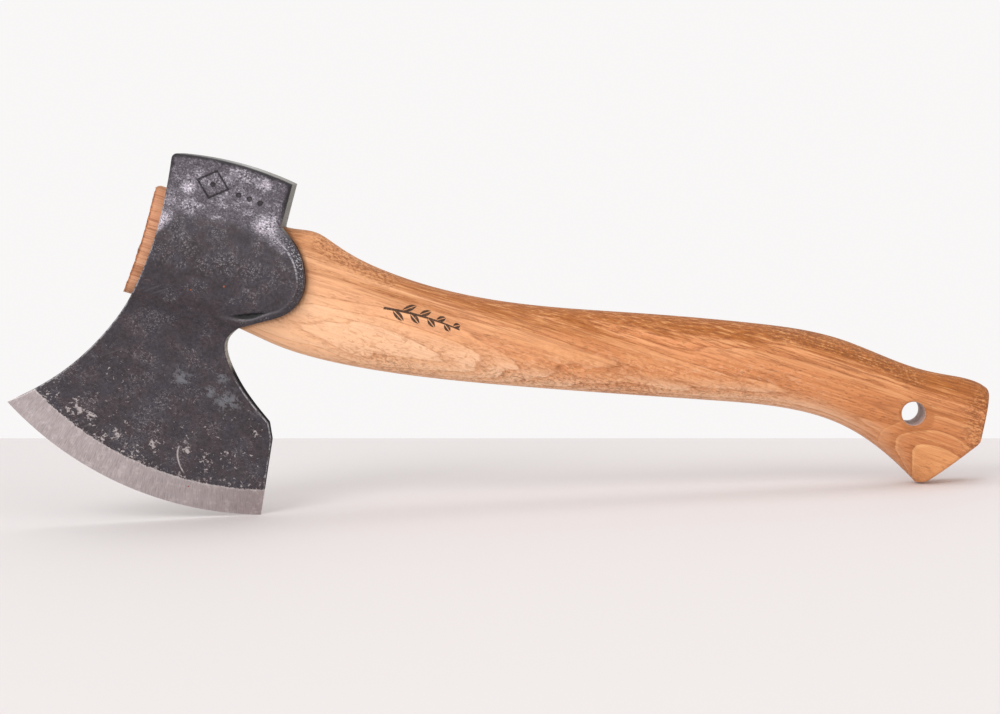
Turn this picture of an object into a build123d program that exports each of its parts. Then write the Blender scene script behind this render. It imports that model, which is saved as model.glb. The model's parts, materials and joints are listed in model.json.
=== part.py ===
from build123d import *

import os
from math import atan2, degrees, hypot, radians, tan

# Carving hatchet: a forged steel head on a curved hickory handle. The handle's tang fills the eye
# of the head and is spread there by a wooden wedge, with a three-legged steel staple wedge driven
# across it.
#
# Everything is drawn lying along its eye: X runs through the eye from the tang's end towards the
# knob, Z points from the cutting edge up to the poll, and Y is the thickness. The origin of that
# drawing is the middle of the eye. The last step stands the hatchet on the heel of its edge and
# the tip of its knob, and puts the origin at the bottom centre. Units are millimetres.

# Head, seen from the side (X, Z)
POLL_FRONT = (-27.0, 39.8)
POLL_CROWN = (1.0, 43.6)
POLL_BACK = (25.5, 42.6)
EAR_TOP = (26.4, 23.5)
EAR_BOTTOM = (21.4, -23.2)
EAR_ROUND = [(36.6, 16.4), (42.0, 8.1), (43.9, 0.6), (41.0, -9.0), (32.0, -16.2)]
WAIST = [(18.0, -29.5), (23.5, -41.0)]
BLADE_CORNER = (45.8, -58.4)
BLADE_CORNER_END = (49.2, -65.0)
FRONT_CURVE = [(-48.6, -68.5), (-33.7, -44.8), (-25.4, -20.3), (-23.0, 5.0)]

# The cutting edge is an arc about this centre, from the toe in front to the heel behind
EDGE_CENTRE = (9.9, 44.4)
EDGE_RADIUS = 149.0
TOE_X = -64.4
HEEL_X = 54.4

# Head, seen from the front: half its thickness at each height, from the poll to the edge
HALF_THICKNESS = [
    (13.6, 45.0),
    (14.4, 33.0),
    (16.2, 20.5),
    (17.6, 8.0),
    (17.4, -8.0),
    (14.0, -19.0),
    (9.2, -26.5),
    (6.4, -40.0),
    (4.4, -62.0),
    (2.7, -92.0),
    (2.2, -110.0),
]
HEAD_HALF_WIDTH = 30.0
HEAD_HALF_LENGTH = 100.0
BEVEL_ANGLE = 12.8
EDGE_FLAT = 0.3
POLL_CHAMFER = 0.8

# Handle, seen from the side: its top and bottom lines (X, Z), and seen from above: half its
# thickness along X
HANDLE_START_X = -37.0
HANDLE_FINISH_X = 344.0
HANDLE_TOP = [
    (HANDLE_START_X, 24.7),
    (-16.0, 24.4),
    (4.0, 24.1),
    (18.0, 23.9),
    (31.0, 24.4),
    (40.5, 25.7),
    (48.5, 23.8),
    (58.0, 21.2),
    (74.0, 19.1),
    (98.0, 19.0),
    (130.0, 22.9),
    (182.0, 35.0),
    (230.0, 46.0),
    (268.0, 51.1),
    (306.0, 49.4),
    (318.0, 50.7),
    (328.0, 51.6),
    (334.0, 50.6),
    (338.0, 48.0),
    (HANDLE_FINISH_X, 38.0),
]
HANDLE_BOTTOM = [
    (HANDLE_START_X, -24.3),
    (-12.0, -23.2),
    (8.0, -22.8),
    (24.0, -24.0),
    (40.0, -25.8),
    (60.0, -25.5),
    (90.0, -21.7),
    (140.0, -11.4),
    (224.0, 9.1),
    (254.0, 15.5),
    (280.0, 16.3),
    (300.0, 11.2),
    (319.0, 2.2),
    (HANDLE_FINISH_X, -13.0),
]
HANDLE_HALF_THICKNESS = [
    (HANDLE_START_X, 11.5),
    (27.0, 11.2),
    (42.0, 11.3),
    (72.0, 13.0),
    (150.0, 11.6),
    (244.0, 12.7),
    (300.0, 12.1),
    (HANDLE_FINISH_X, 12.0),
]
HANDLE_SECTION_COUNT = 36
OVAL_FULLNESS = 0.64
LINE_PRECISION = 1e-7
TANG_END_X = -31.6
TANG_END_HOLLOW = 2.9
TANG_SAW_HALF_HEIGHT = 30.0

# The knob is sawn off by two flat cuts, an end cut and a slanting one, which meet the belly in a tip
SAW_REACH = 60.0
KNOB_END_TOP = (335.6, SAW_REACH)
KNOB_END_BOTTOM = (338.0, 27.4)
KNOB_TIP = (322.0, 3.6)
KNOB_TIP_BACK = (318.6, 1.6)
KNOB_START_X = 300.0
KNOB_EDGE_RADIUS = 1.8

# Hanging hole through the knob
HOLE_CENTRE = (306.7, 30.8)
HOLE_RADIUS = 5.0
HOLE_MOUTH_RADIUS = 0.6

# Wooden wedge in a sawn kerf along the eye's height
WEDGE_DEPTH = 36.0
WEDGE_END_THICKNESS = 4.6
WEDGE_TIP_THICKNESS = 1.2
WEDGE_BLANK_HALF_HEIGHT = 40.0

# Steel staple wedge: a crown bar with three pointed legs, driven across the wooden wedge
STAPLE_WIDTH = 20.0
STAPLE_THICKNESS = 3.0
STAPLE_CROWN_DEPTH = 4.0
STAPLE_LEG_WIDTH = 4.4
STAPLE_LEG_LENGTH = 18.0
STAPLE_TURN = 55.0
STAPLE_PROUD = 0.6
STAPLE_CENTRE_Z = 0.8

SETTLING_STEPS = 3


def edge_height(x):
    """Height of the cutting edge at x, on its arc."""
    across = x - EDGE_CENTRE[0]
    return EDGE_CENTRE[1] - (EDGE_RADIUS**2 - across**2) ** 0.5


HEEL = (HEEL_X, edge_height(HEEL_X))
TOE = (TOE_X, edge_height(TOE_X))
EDGE_BELLY = (0.0, edge_height(0.0))


def side_face(edges):
    """A face in the side view, from edges drawn in (x, z)."""
    return Plane.XZ * make_face(edges)


def side_slab(edges, half_width):
    """The side view's outline, made thick on both sides of the middle plane."""
    return extrude(side_face(edges), half_width, both=True)


def end_view(x):
    """Plane across the eye's axis at x, with local X along +Y and local Y along +Z."""
    return Plane(origin=(x, 0, 0), x_dir=(0, 1, 0), z_dir=(1, 0, 0))


def oval(top, bottom, half_width):
    """Closed oval of four Bezier quarters, with fuller sides than an ellipse."""
    middle = (top + bottom) / 2
    half_height = (top - bottom) / 2
    quarters = []
    for side, end in ((1, 1), (1, -1), (-1, -1), (-1, 1)):
        quarters.append(
            Bezier(
                (0, middle + end * half_height),
                (side * half_width * OVAL_FULLNESS, middle + end * half_height),
                (side * half_width, middle + end * half_height * OVAL_FULLNESS),
                (side * half_width, middle),
            )
        )
    return make_face(quarters)


def height_at(line, x):
    """Height of a line drawn in (x, z) where it passes x, found by halving."""
    before, after = 0.0, 1.0
    while after - before > LINE_PRECISION:
        middle = (before + after) / 2
        if (line @ middle).X < x:
            before = middle
        else:
            after = middle
    return (line @ before).Y


def handle_blank():
    """The handle before its ends are sawn and its tang is slotted: ovals at even steps along X."""
    top = Spline(HANDLE_TOP)
    bottom = Spline(HANDLE_BOTTOM)
    half_thickness = Spline(HANDLE_HALF_THICKNESS)
    step = (HANDLE_FINISH_X - HANDLE_START_X) / (HANDLE_SECTION_COUNT - 1)
    sections = []
    for index in range(HANDLE_SECTION_COUNT):
        x = HANDLE_START_X + index * step
        section = oval(height_at(top, x), height_at(bottom, x), height_at(half_thickness, x))
        sections.append(end_view(x) * section)
    return loft(sections)


def knob_saw_line():
    """Side outline that keeps the handle and leaves off what is beyond the knob's flat cuts."""
    start_x = HANDLE_START_X - 1
    return [
        Polyline(
            (start_x, KNOB_END_TOP[1]),
            KNOB_END_TOP,
            KNOB_END_BOTTOM,
            KNOB_TIP,
            KNOB_TIP_BACK,
            (start_x, -SAW_REACH),
            close=True,
        )
    ]


def tang_saw():
    """What is sawn off the tang's end, which is left slightly hollow."""
    half_height = TANG_SAW_HALF_HEIGHT
    radius = (half_height**2 + TANG_END_HOLLOW**2) / (2 * TANG_END_HOLLOW)
    start_x = HANDLE_START_X - 1
    edges = [
        ThreePointArc(
            (TANG_END_X, -half_height),
            (TANG_END_X + TANG_END_HOLLOW, 0.0),
            (TANG_END_X, half_height),
        ),
        Polyline(
            (TANG_END_X, half_height),
            (start_x, half_height),
            (start_x, -half_height),
            (TANG_END_X, -half_height),
        ),
    ]
    return side_slab(edges, HEAD_HALF_WIDTH)


def hanging_hole():
    """The drill's path through the knob, along Y."""
    x, z = HOLE_CENTRE
    return Pos(x, 0, z) * Rot(90, 0, 0) * Cylinder(HOLE_RADIUS, 2 * HEAD_HALF_WIDTH)


def round_knob_edges(body):
    """Soften the edges of the knob's flat cuts."""
    cuts = [
        face
        for face in body.faces()
        if face.geom_type == GeomType.PLANE and face.center().X > KNOB_START_X
    ]
    edges = []
    for face in cuts:
        for edge in face.edges():
            if not any(edge.is_same(other) for other in edges):
                edges.append(edge)
    return fillet(edges, KNOB_EDGE_RADIUS)


def round_hole_mouths(body):
    """Soften both mouths of the hanging hole."""
    x, z = HOLE_CENTRE
    mouths = [
        edge
        for edge in body.edges()
        if hypot(edge.center().X - x, edge.center().Z - z) < HOLE_RADIUS + 1
        and edge.geom_type == GeomType.BSPLINE
    ]
    return fillet(mouths, HOLE_MOUTH_RADIUS)


def handle_body(blank):
    """The finished handle, but for the slots in its tang."""
    body = (blank & side_slab(knob_saw_line(), HEAD_HALF_WIDTH)) - tang_saw()
    return round_hole_mouths(round_knob_edges(body) - hanging_hole())


def kerf_wedge_blank():
    """Tapered wooden wedge, wider than the tang in height, before it is trimmed flush."""
    start_x = HANDLE_START_X
    tip_x = TANG_END_X + WEDGE_DEPTH
    taper = (WEDGE_END_THICKNESS - WEDGE_TIP_THICKNESS) / WEDGE_DEPTH
    start_half = (WEDGE_END_THICKNESS + taper * (TANG_END_X - start_x)) / 2
    tip_half = WEDGE_TIP_THICKNESS / 2
    outline = make_face(
        Polyline(
            (start_x, -start_half),
            (tip_x, -tip_half),
            (tip_x, tip_half),
            (start_x, start_half),
            close=True,
        )
    )
    return extrude(outline, WEDGE_BLANK_HALF_HEIGHT, both=True)


def staple_wedge():
    """Crown bar with three legs that taper to points, turned across the wooden wedge."""
    crown_x = TANG_END_X + TANG_END_HOLLOW - STAPLE_PROUD
    crown_end = crown_x + STAPLE_CROWN_DEPTH
    half_width = STAPLE_WIDTH / 2
    half_leg = STAPLE_LEG_WIDTH / 2
    comb = Pos(crown_x + STAPLE_CROWN_DEPTH / 2, 0) * Rectangle(STAPLE_CROWN_DEPTH, STAPLE_WIDTH)
    for middle in (-half_width + half_leg, 0.0, half_width - half_leg):
        leg = Polyline(
            (crown_end, middle - half_leg),
            (crown_end + STAPLE_LEG_LENGTH, middle),
            (crown_end, middle + half_leg),
            close=True,
        )
        comb += make_face(leg)
    legs = extrude(comb, STAPLE_THICKNESS / 2, both=True)
    return Pos(0, 0, STAPLE_CENTRE_Z) * Rot(90 - STAPLE_TURN, 0, 0) * legs


def head_outline():
    """The forging's side outline, drawn once round from the poll's front corner."""
    return [
        ThreePointArc(POLL_FRONT, POLL_CROWN, POLL_BACK),
        Line(POLL_BACK, EAR_TOP),
        Spline([EAR_TOP, *EAR_ROUND, EAR_BOTTOM]),
        Spline([EAR_BOTTOM, *WAIST, BLADE_CORNER]),
        Line(BLADE_CORNER, BLADE_CORNER_END),
        Line(BLADE_CORNER_END, HEEL),
        ThreePointArc(HEEL, EDGE_BELLY, TOE),
        Spline([TOE, *FRONT_CURVE, POLL_FRONT]),
    ]


def head_thickness():
    """A long bar along X whose section is the head seen from the front."""
    right = HALF_THICKNESS
    left = [(-half, z) for half, z in HALF_THICKNESS]
    section = make_face(
        [
            Spline(right),
            Line(right[-1], left[-1]),
            Spline(left),
            Line(left[0], right[0]),
        ]
    )
    return extrude(end_view(0.0) * section, HEAD_HALF_LENGTH, both=True)


def bevel_envelope():
    """Body of revolution about the edge arc's centre, whose cones are the two ground bevels."""
    slope = tan(radians(BEVEL_ANGLE))
    cone_length = (HEAD_HALF_WIDTH - EDGE_FLAT / 2) / slope
    x, z = EDGE_CENTRE
    plane = Plane(origin=(x, 0, z), x_dir=(1, 0, 0), z_dir=(0, 0, 1))
    profile = make_face(
        Polyline(
            (0, -HEAD_HALF_WIDTH),
            (EDGE_RADIUS - cone_length, -HEAD_HALF_WIDTH),
            (EDGE_RADIUS, -EDGE_FLAT / 2),
            (EDGE_RADIUS, EDGE_FLAT / 2),
            (EDGE_RADIUS - cone_length, HEAD_HALF_WIDTH),
            (0, HEAD_HALF_WIDTH),
            close=True,
        )
    )
    return revolve(plane * profile, Axis((x, 0, z), (0, 1, 0)))


def forged_head(blank):
    """The head, with its eye filled exactly by the handle."""
    block = side_slab(head_outline(), HEAD_HALF_WIDTH) & head_thickness() & bevel_envelope()
    poll_face = block.faces().sort_by(Axis.Z)[-1]
    return chamfer(poll_face.edges(), POLL_CHAMFER) - blank


def standing_angle(pieces):
    """Angle, in degrees, that the eye points down when heel and knob tip stand on one floor."""
    span = hypot(KNOB_TIP_BACK[0] - HEEL[0], KNOB_TIP_BACK[1] - HEEL[1])
    angle = degrees(atan2(KNOB_TIP_BACK[1] - HEEL[1], KNOB_TIP_BACK[0] - HEEL[0]))
    for _ in range(SETTLING_STEPS):
        heel_height = (Rot(0, angle, 0) * pieces["head"]).bounding_box().min.Z
        knob_height = (Rot(0, angle, 0) * pieces["handle"]).bounding_box().min.Z
        angle += degrees((knob_height - heel_height) / span)
    return angle


blank = handle_blank()
body = handle_body(blank)
staple = staple_wedge()
pieces = {
    "head": forged_head(blank),
    "handle": body - kerf_wedge_blank() - staple,
    "kerf_wedge": (body & kerf_wedge_blank()) - staple,
    "staple_wedge": staple,
}

stand_angle = standing_angle(pieces)
standing = {name: Rot(0, stand_angle, 0) * piece for name, piece in pieces.items()}
boxes = [piece.bounding_box() for piece in standing.values()]
middle_x = (min(box.min.X for box in boxes) + max(box.max.X for box in boxes)) / 2
floor_z = min(box.min.Z for box in boxes)

os.makedirs("parts", exist_ok=True)
for name, piece in standing.items():
    export_step(Pos(-middle_x, 0, -floor_z) * piece, f"parts/{name}.step")
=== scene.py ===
import json

import bpy
import numpy as np
from math import asin, cos, pi, radians, sin
from mathutils import Euler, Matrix, Vector, kdtree, noise


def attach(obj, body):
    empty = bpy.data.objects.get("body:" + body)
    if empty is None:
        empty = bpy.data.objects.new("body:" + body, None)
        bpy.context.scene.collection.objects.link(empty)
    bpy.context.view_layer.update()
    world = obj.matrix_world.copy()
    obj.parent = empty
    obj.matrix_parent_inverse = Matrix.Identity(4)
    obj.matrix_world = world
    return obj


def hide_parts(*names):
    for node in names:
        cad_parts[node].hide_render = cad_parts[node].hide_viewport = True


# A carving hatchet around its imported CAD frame. Every piece is drawn in millimetres in the
# hatchet's own drawing frame: X through the eye from the tang's end towards the knob, Y through
# the thickness, Z up to the poll, origin in the middle of the eye. to_row() stands it up.

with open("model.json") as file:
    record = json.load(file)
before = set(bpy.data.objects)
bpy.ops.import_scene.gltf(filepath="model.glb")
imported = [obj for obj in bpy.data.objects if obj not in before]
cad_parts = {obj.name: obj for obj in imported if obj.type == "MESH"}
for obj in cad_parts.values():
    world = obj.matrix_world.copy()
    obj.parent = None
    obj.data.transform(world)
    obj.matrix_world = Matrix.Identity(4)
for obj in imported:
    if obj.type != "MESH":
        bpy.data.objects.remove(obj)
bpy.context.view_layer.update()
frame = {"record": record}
MM = 0.001

# The drawing frame is tilted down towards the knob, and the hanging hole ties it to the CAD
STAND_ANGLE = radians(20.677)
HOLE_CENTRE = (306.7, 30.8)
HOLE_RADIUS = 5.0
HOLE_IN_ROW = frame["record"]["mounts"][0]["pos_m"]

# Head, seen from the side (X, Z)
POLL_FRONT = (-27.0, 39.8)
POLL_CROWN_Z = 43.6
POLL_BACK = (25.5, 42.6)
EAR_TOP = (26.4, 23.5)
EAR_ROUND = [(36.6, 16.4), (42.0, 8.1), (43.9, 0.6), (41.0, -9.0), (32.0, -16.2)]
EAR_BOTTOM = (21.4, -23.2)
WAIST = [(18.0, -29.5), (23.5, -41.0)]
BLADE_CORNER = (45.8, -58.4)
BLADE_CORNER_END = (49.2, -65.0)
FRONT_CURVE = [(-23.0, 5.0), (-25.4, -20.3), (-33.7, -44.8), (-48.6, -68.5)]
EDGE_CENTRE = (9.9, 44.4)
EDGE_RADIUS = 149.0
TOE_X = -64.4
HEEL_X = 54.4
HALF_THICKNESS = [
    (-110.0, 2.2), (-92.0, 2.7), (-62.0, 4.4), (-40.0, 6.4), (-26.5, 9.2), (-19.0, 14.0),
    (-8.0, 17.4), (8.0, 17.6), (20.5, 16.2), (33.0, 14.4), (45.0, 13.6),
]
EDGE_HALF = 0.15

# Handle: top line, bottom line and half thickness along X
HANDLE_TOP = [
    (-37.0, 24.7), (-16.0, 24.4), (4.0, 24.1), (18.0, 23.9), (31.0, 24.4), (40.5, 25.7),
    (48.5, 23.8), (58.0, 21.2), (74.0, 19.1), (98.0, 19.0), (130.0, 22.9), (182.0, 35.0),
    (230.0, 46.0), (268.0, 51.1), (306.0, 49.4), (318.0, 50.7), (328.0, 51.6), (334.0, 50.6),
    (338.0, 48.0), (344.0, 38.0),
]
HANDLE_BOTTOM = [
    (-37.0, -24.3), (-12.0, -23.2), (8.0, -22.8), (24.0, -24.0), (40.0, -25.8), (60.0, -25.5),
    (90.0, -21.7), (140.0, -11.4), (224.0, 9.1), (254.0, 15.5), (280.0, 16.3), (300.0, 11.2),
    (319.0, 2.2), (344.0, -13.0),
]
HANDLE_HALF_THICKNESS = [
    (-37.0, 11.5), (27.0, 11.2), (42.0, 11.3), (72.0, 13.0), (150.0, 11.6), (244.0, 12.7),
    (300.0, 12.1), (344.0, 12.0),
]
OVAL_FULLNESS = 0.64
TANG_END_X = -31.6
TANG_END_HOLLOW = 2.9
TANG_HOLLOW_HALF = 30.0


# ---------------------------------------------------------------- curves and frames

CURVE_FINENESS = 60


def to_row(points):
    """Points in the drawing frame, in mm, as points in the row frame, in metres."""
    c, s = cos(STAND_ANGLE), sin(STAND_ANGLE)
    hole_x, hole_z = HOLE_CENTRE
    x = HOLE_IN_ROW[0] + MM * (c * (points[:, 0] - hole_x) + s * (points[:, 2] - hole_z))
    z = HOLE_IN_ROW[2] + MM * (-s * (points[:, 0] - hole_x) + c * (points[:, 2] - hole_z))
    return np.column_stack([x, MM * points[:, 1], z])


def from_row(points):
    """The inverse of to_row()."""
    c, s = cos(STAND_ANGLE), sin(STAND_ANGLE)
    x = (points[:, 0] - HOLE_IN_ROW[0]) / MM
    z = (points[:, 2] - HOLE_IN_ROW[2]) / MM
    hole_x, hole_z = HOLE_CENTRE
    return np.column_stack([hole_x + c * x - s * z, points[:, 1] / MM, hole_z + s * x + c * z])


def natural_spline(knots, values, at):
    """Natural cubic spline through (knots, values), at the given places."""
    knots, values = np.asarray(knots, float), np.asarray(values, float)
    count = len(knots)
    step = np.diff(knots)
    system, right = np.eye(count), np.zeros(count)
    for i in range(1, count - 1):
        system[i, i - 1 : i + 2] = step[i - 1], 2 * (step[i - 1] + step[i]), step[i]
        rise, fall = values[i + 1] - values[i], values[i] - values[i - 1]
        right[i] = 6 * (rise / step[i] - fall / step[i - 1])
    bend = np.linalg.solve(system, right)
    i = np.clip(np.searchsorted(knots, at) - 1, 0, count - 2)
    a, b = knots[i + 1] - at, at - knots[i]
    cubic = (bend[i] * a**3 + bend[i + 1] * b**3) / (6 * step[i])
    line_a = (values[i] / step[i] - bend[i] * step[i] / 6) * a
    line_b = (values[i + 1] / step[i] - bend[i + 1] * step[i] / 6) * b
    return cubic + line_a + line_b


def spline_table(table, at):
    """A two-column table of stations as a smooth function."""
    columns = np.array(table)
    return natural_spline(columns[:, 0], columns[:, 1], np.asarray(at, float))


def lengths_along(path):
    """Distance along a path of points to each of them."""
    return np.concatenate([[0], np.cumsum(np.hypot(*np.diff(path, axis=0).T))])


def resample(path, stations, at):
    """Points of a path at other stations than its own points have."""
    return np.column_stack([np.interp(at, stations, path[:, axis]) for axis in (0, 1)])


def even_path(points, count):
    """count points evenly spaced along a smooth curve through the given ones."""
    points = np.array(points, float)
    chord = lengths_along(points)
    fine = np.linspace(0, chord[-1], CURVE_FINENESS * len(points))
    path = np.column_stack([natural_spline(chord, points[:, axis], fine) for axis in (0, 1)])
    length = lengths_along(path)
    return resample(path, length, np.linspace(0, length[-1], count))


def smoothstep(low, high, value):
    t = np.clip((value - low) / (high - low), 0, 1)
    return t * t * (3 - 2 * t)


def fractal_noise(points, size, octaves, seed):
    """Noise from about -1 to 1 at points in mm; size is its coarsest feature, per axis."""
    scaled = points / np.asarray(size, float) + seed
    return np.array([noise.fractal(Vector(p), 1.0, 2.0, octaves) for p in scaled])


def window(value, low, high, ease):
    """1 between low and high, easing to 0 outside them."""
    return smoothstep(low - ease, low, value) * (1 - smoothstep(high, high + ease, value))


def bump(value, width, middle=0.0):
    """1 where the value is at the middle, falling off over the width to each side."""
    return np.exp(-(((value - middle) / width) ** 2))


def make_object(name, vertices, faces):
    """A mesh object from points in the drawing frame."""
    mesh = bpy.data.meshes.new(name)
    mesh.from_pydata(to_row(vertices).tolist(), [], faces)
    mesh.validate()
    thing = bpy.data.objects.new(name, mesh)
    bpy.context.scene.collection.objects.link(thing)
    return thing


def carve(target, cutter):
    """Takes the cutter's volume off the target, whose mesh is replaced by the result."""
    cut = target.modifiers.new("cut", "BOOLEAN")
    cut.object = cutter
    cut.operation = "DIFFERENCE"
    cut.solver = "MANIFOLD"
    graph = bpy.context.evaluated_depsgraph_get()
    carved = bpy.data.meshes.new_from_object(target.evaluated_get(graph))
    if len(carved.vertices) == len(target.data.vertices):
        raise RuntimeError(f"{cutter.name} took nothing off {target.name}")
    target.modifiers.clear()
    target.data = carved


def mesh_points(mesh):
    """A mesh's vertices in the drawing frame."""
    row = np.empty(3 * len(mesh.vertices))
    mesh.vertices.foreach_get("co", row)
    return from_row(row.reshape(-1, 3))


def finish_mesh(thing, material, sharp_angle, measures=None):
    """Smooth shading with sharp edges, the material, and the values it reads at each vertex."""
    mesh = thing.data
    points = mesh_points(mesh)
    place = mesh.attributes.new("place_mm", "FLOAT_VECTOR", "POINT")
    place.data.foreach_set("vector", points.astype(np.float32).ravel())
    measured = measures(points) if measures else {}
    for name, values in measured.items():
        made = mesh.attributes.new(name, "FLOAT", "POINT")
        made.data.foreach_set("value", np.asarray(values, np.float32))
    mesh.shade_smooth()
    mesh.set_sharp_from_angle(angle=radians(sharp_angle))
    mesh.materials.clear()
    mesh.materials.append(material)


def grid_faces(rows, columns, start, flip):
    """Quads of a rows x columns block of vertices that starts at the given index."""
    faces = []
    for i in range(rows - 1):
        for j in range(columns - 1):
            a = start + i * columns + j
            quad = [a, a + 1, a + columns + 1, a + columns]
            faces.append(quad[::-1] if flip else quad)
    return faces


def tube(name, rings):
    """A closed object through rings of points that run counterclockwise seen from before the first."""
    around = len(rings[0])
    faces = []
    for start in range(0, (len(rings) - 1) * around, around):
        for j in range(around):
            a, b = start + j, start + (j + 1) % around
            faces.append([b, a, a + around, b + around])
    faces.append(list(range(around)))
    faces.append(list(range(len(rings) * around - 1, (len(rings) - 1) * around - 1, -1)))
    return make_object(name, np.vstack(rings), faces)


def clustered(count, strength):
    """count numbers from 0 to 1 that crowd towards both ends."""
    s = np.linspace(0, 1, count)
    return s - strength * np.sin(2 * pi * s) / (2 * pi)


def distance_to_path(x, z, path):
    """Distance from each (x, z) to a path of points, and the path's fraction there."""
    tree = kdtree.KDTree(len(path))
    for index, (path_x, path_z) in enumerate(path):
        tree.insert((path_x, path_z, 0), index)
    tree.balance()
    found = [tree.find((px, pz, 0)) for px, pz in zip(x, z)]
    distance = np.array([hit[2] for hit in found])
    fraction = np.array([hit[1] for hit in found]) / (len(path) - 1)
    return distance, fraction


# ---------------------------------------------------------------- head

POLL_STEPS = 176
BEVEL_STEPS = 18
HEAD_COLUMNS = 132
RIM_STEPS = 16
BEVEL_WIDTH_TOE = 13.2
BEVEL_WIDTH_HEEL = 11.0
RIM_ROUNDING = 1.1
EAR_MIDDLE = (20.0, 0.0)
EAR_RIDGE_ANGLES = [(-42.0, 1.8), (-28.0, 2.7), (0.0, 3.0), (20.0, 3.2), (45.0, 3.8), (80.0, 4.1)]
CREASE = [(39.4, -8.6), (31.0, -12.6), (22.0, -16.6), (16.0, -18.8), (10.5, -20.0)]
POLL_ARCH = [
    (-24.0, 3.0), (-19.5, 11.5), (-14.5, 16.2), (-5.9, 17.6), (9.0, 20.3), (20.7, 18.7), (30.0, 15.6),
]
STAMP_CENTRE = (-6.4, 32.4)
STAMP_HALF = (7.4, 6.4)
STAMP_RING = 0.92
STAMP_DOTS = [(5.4, 31.4), (10.2, 31.2), (15.0, 31.0)]
CORNER_EASE = 2.4
CORNER_PULL = 0.9
SIDE_SAMPLES = 400
CREASE_SAMPLES = 160

# Places (x, z, size) where the steel's surface differs; on the poll, where it gets painted highlights
STEEL_PLACES = {
    "poll_highlight": [
        (24.5, 23.0, 5.5), (19.5, 22.0, 4.5), (-22.0, 11.0, 5.0), (-16.0, 28.0, 3.0), (15.0, 39.0, 2.5),
    ],
    "cheek_flecks": [
        (-18.5, -1.0, 4.5), (-9.0, 5.0, 5.0), (0.6, -0.8, 3.5), (8.5, 3.0, 6.0), (20.5, 3.6, 5.0),
    ],
    "scale_patch": [
        (24.8, -55.0, 5.0), (28.2, -54.5, 4.0), (18.2, -53.3, 3.0), (5.0, -51.5, 4.0), (21.0, -45.4, 3.0),
    ],
    "flake_patch": [
        (-46.0, -74.8, 3.5), (-35.5, -79.3, 4.5), (-29.0, -78.0, 4.0), (-21.9, -86.0, 4.0),
        (-14.5, -82.5, 3.5), (-4.0, -89.5, 5.0), (1.0, -83.0, 3.0), (15.8, -78.2, 3.0),
        (26.1, -82.3, 4.5), (33.8, -78.5, 4.0), (41.6, -65.6, 2.5),
    ],
}
RUST_SPOTS = [(11.2, -7.2, 0.5), (-1.8, -12.9, 0.4), (21.0, -95.5, 0.4)]


def arc_point(radius, angle):
    return np.column_stack(
        [EDGE_CENTRE[0] + radius * np.sin(angle), EDGE_CENTRE[1] - radius * np.cos(angle)]
    )


def bevel_width(x):
    return BEVEL_WIDTH_TOE + (BEVEL_WIDTH_HEEL - BEVEL_WIDTH_TOE) * (x - TOE_X) / (HEEL_X - TOE_X)


def reach_from_edge(x, z):
    """Distance from the cutting edge's arc, measured up towards its centre."""
    return EDGE_RADIUS - np.hypot(x - EDGE_CENTRE[0], z - EDGE_CENTRE[1])


def head_sides():
    """The front and back outlines, from poll to edge, as fine paths."""
    toe_angle = asin((TOE_X - EDGE_CENTRE[0]) / EDGE_RADIUS)
    heel_angle = asin((HEEL_X - EDGE_CENTRE[0]) / EDGE_RADIUS)
    toe = tuple(arc_point(EDGE_RADIUS, np.array([toe_angle]))[0])
    heel = tuple(arc_point(EDGE_RADIUS, np.array([heel_angle]))[0])
    front = even_path([POLL_FRONT, *FRONT_CURVE, toe], 900)
    pieces = [
        even_path([POLL_BACK, EAR_TOP], 200)[:-1],
        even_path([EAR_TOP, *EAR_ROUND, EAR_BOTTOM], 500)[:-1],
        even_path([EAR_BOTTOM, *WAIST, BLADE_CORNER], 400)[:-1],
        even_path([BLADE_CORNER, BLADE_CORNER_END], 60)[:-1],
        even_path([BLADE_CORNER_END, heel], 300),
    ]
    return front, np.vstack(pieces), toe_angle, heel_angle


def side_patch(top, bottom, front, back, u, v):
    """Coons patch between four edges; front and back run down, top and bottom run backward."""
    u, v = u[None, :, None], v[:, None, None]
    rows = (1 - v) * top[None] + v * bottom[None]
    columns = (1 - u) * front[:, None] + u * back[:, None]
    corners = (1 - v) * ((1 - u) * top[0] + u * top[-1])
    corners += v * ((1 - u) * bottom[0] + u * bottom[-1])
    return rows + columns - corners


def by_height(path, heights):
    """Points of a path that runs downward, at the given heights."""
    return np.column_stack([np.interp(-heights, -path[:, 1], path[:, 0]), heights])


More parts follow.
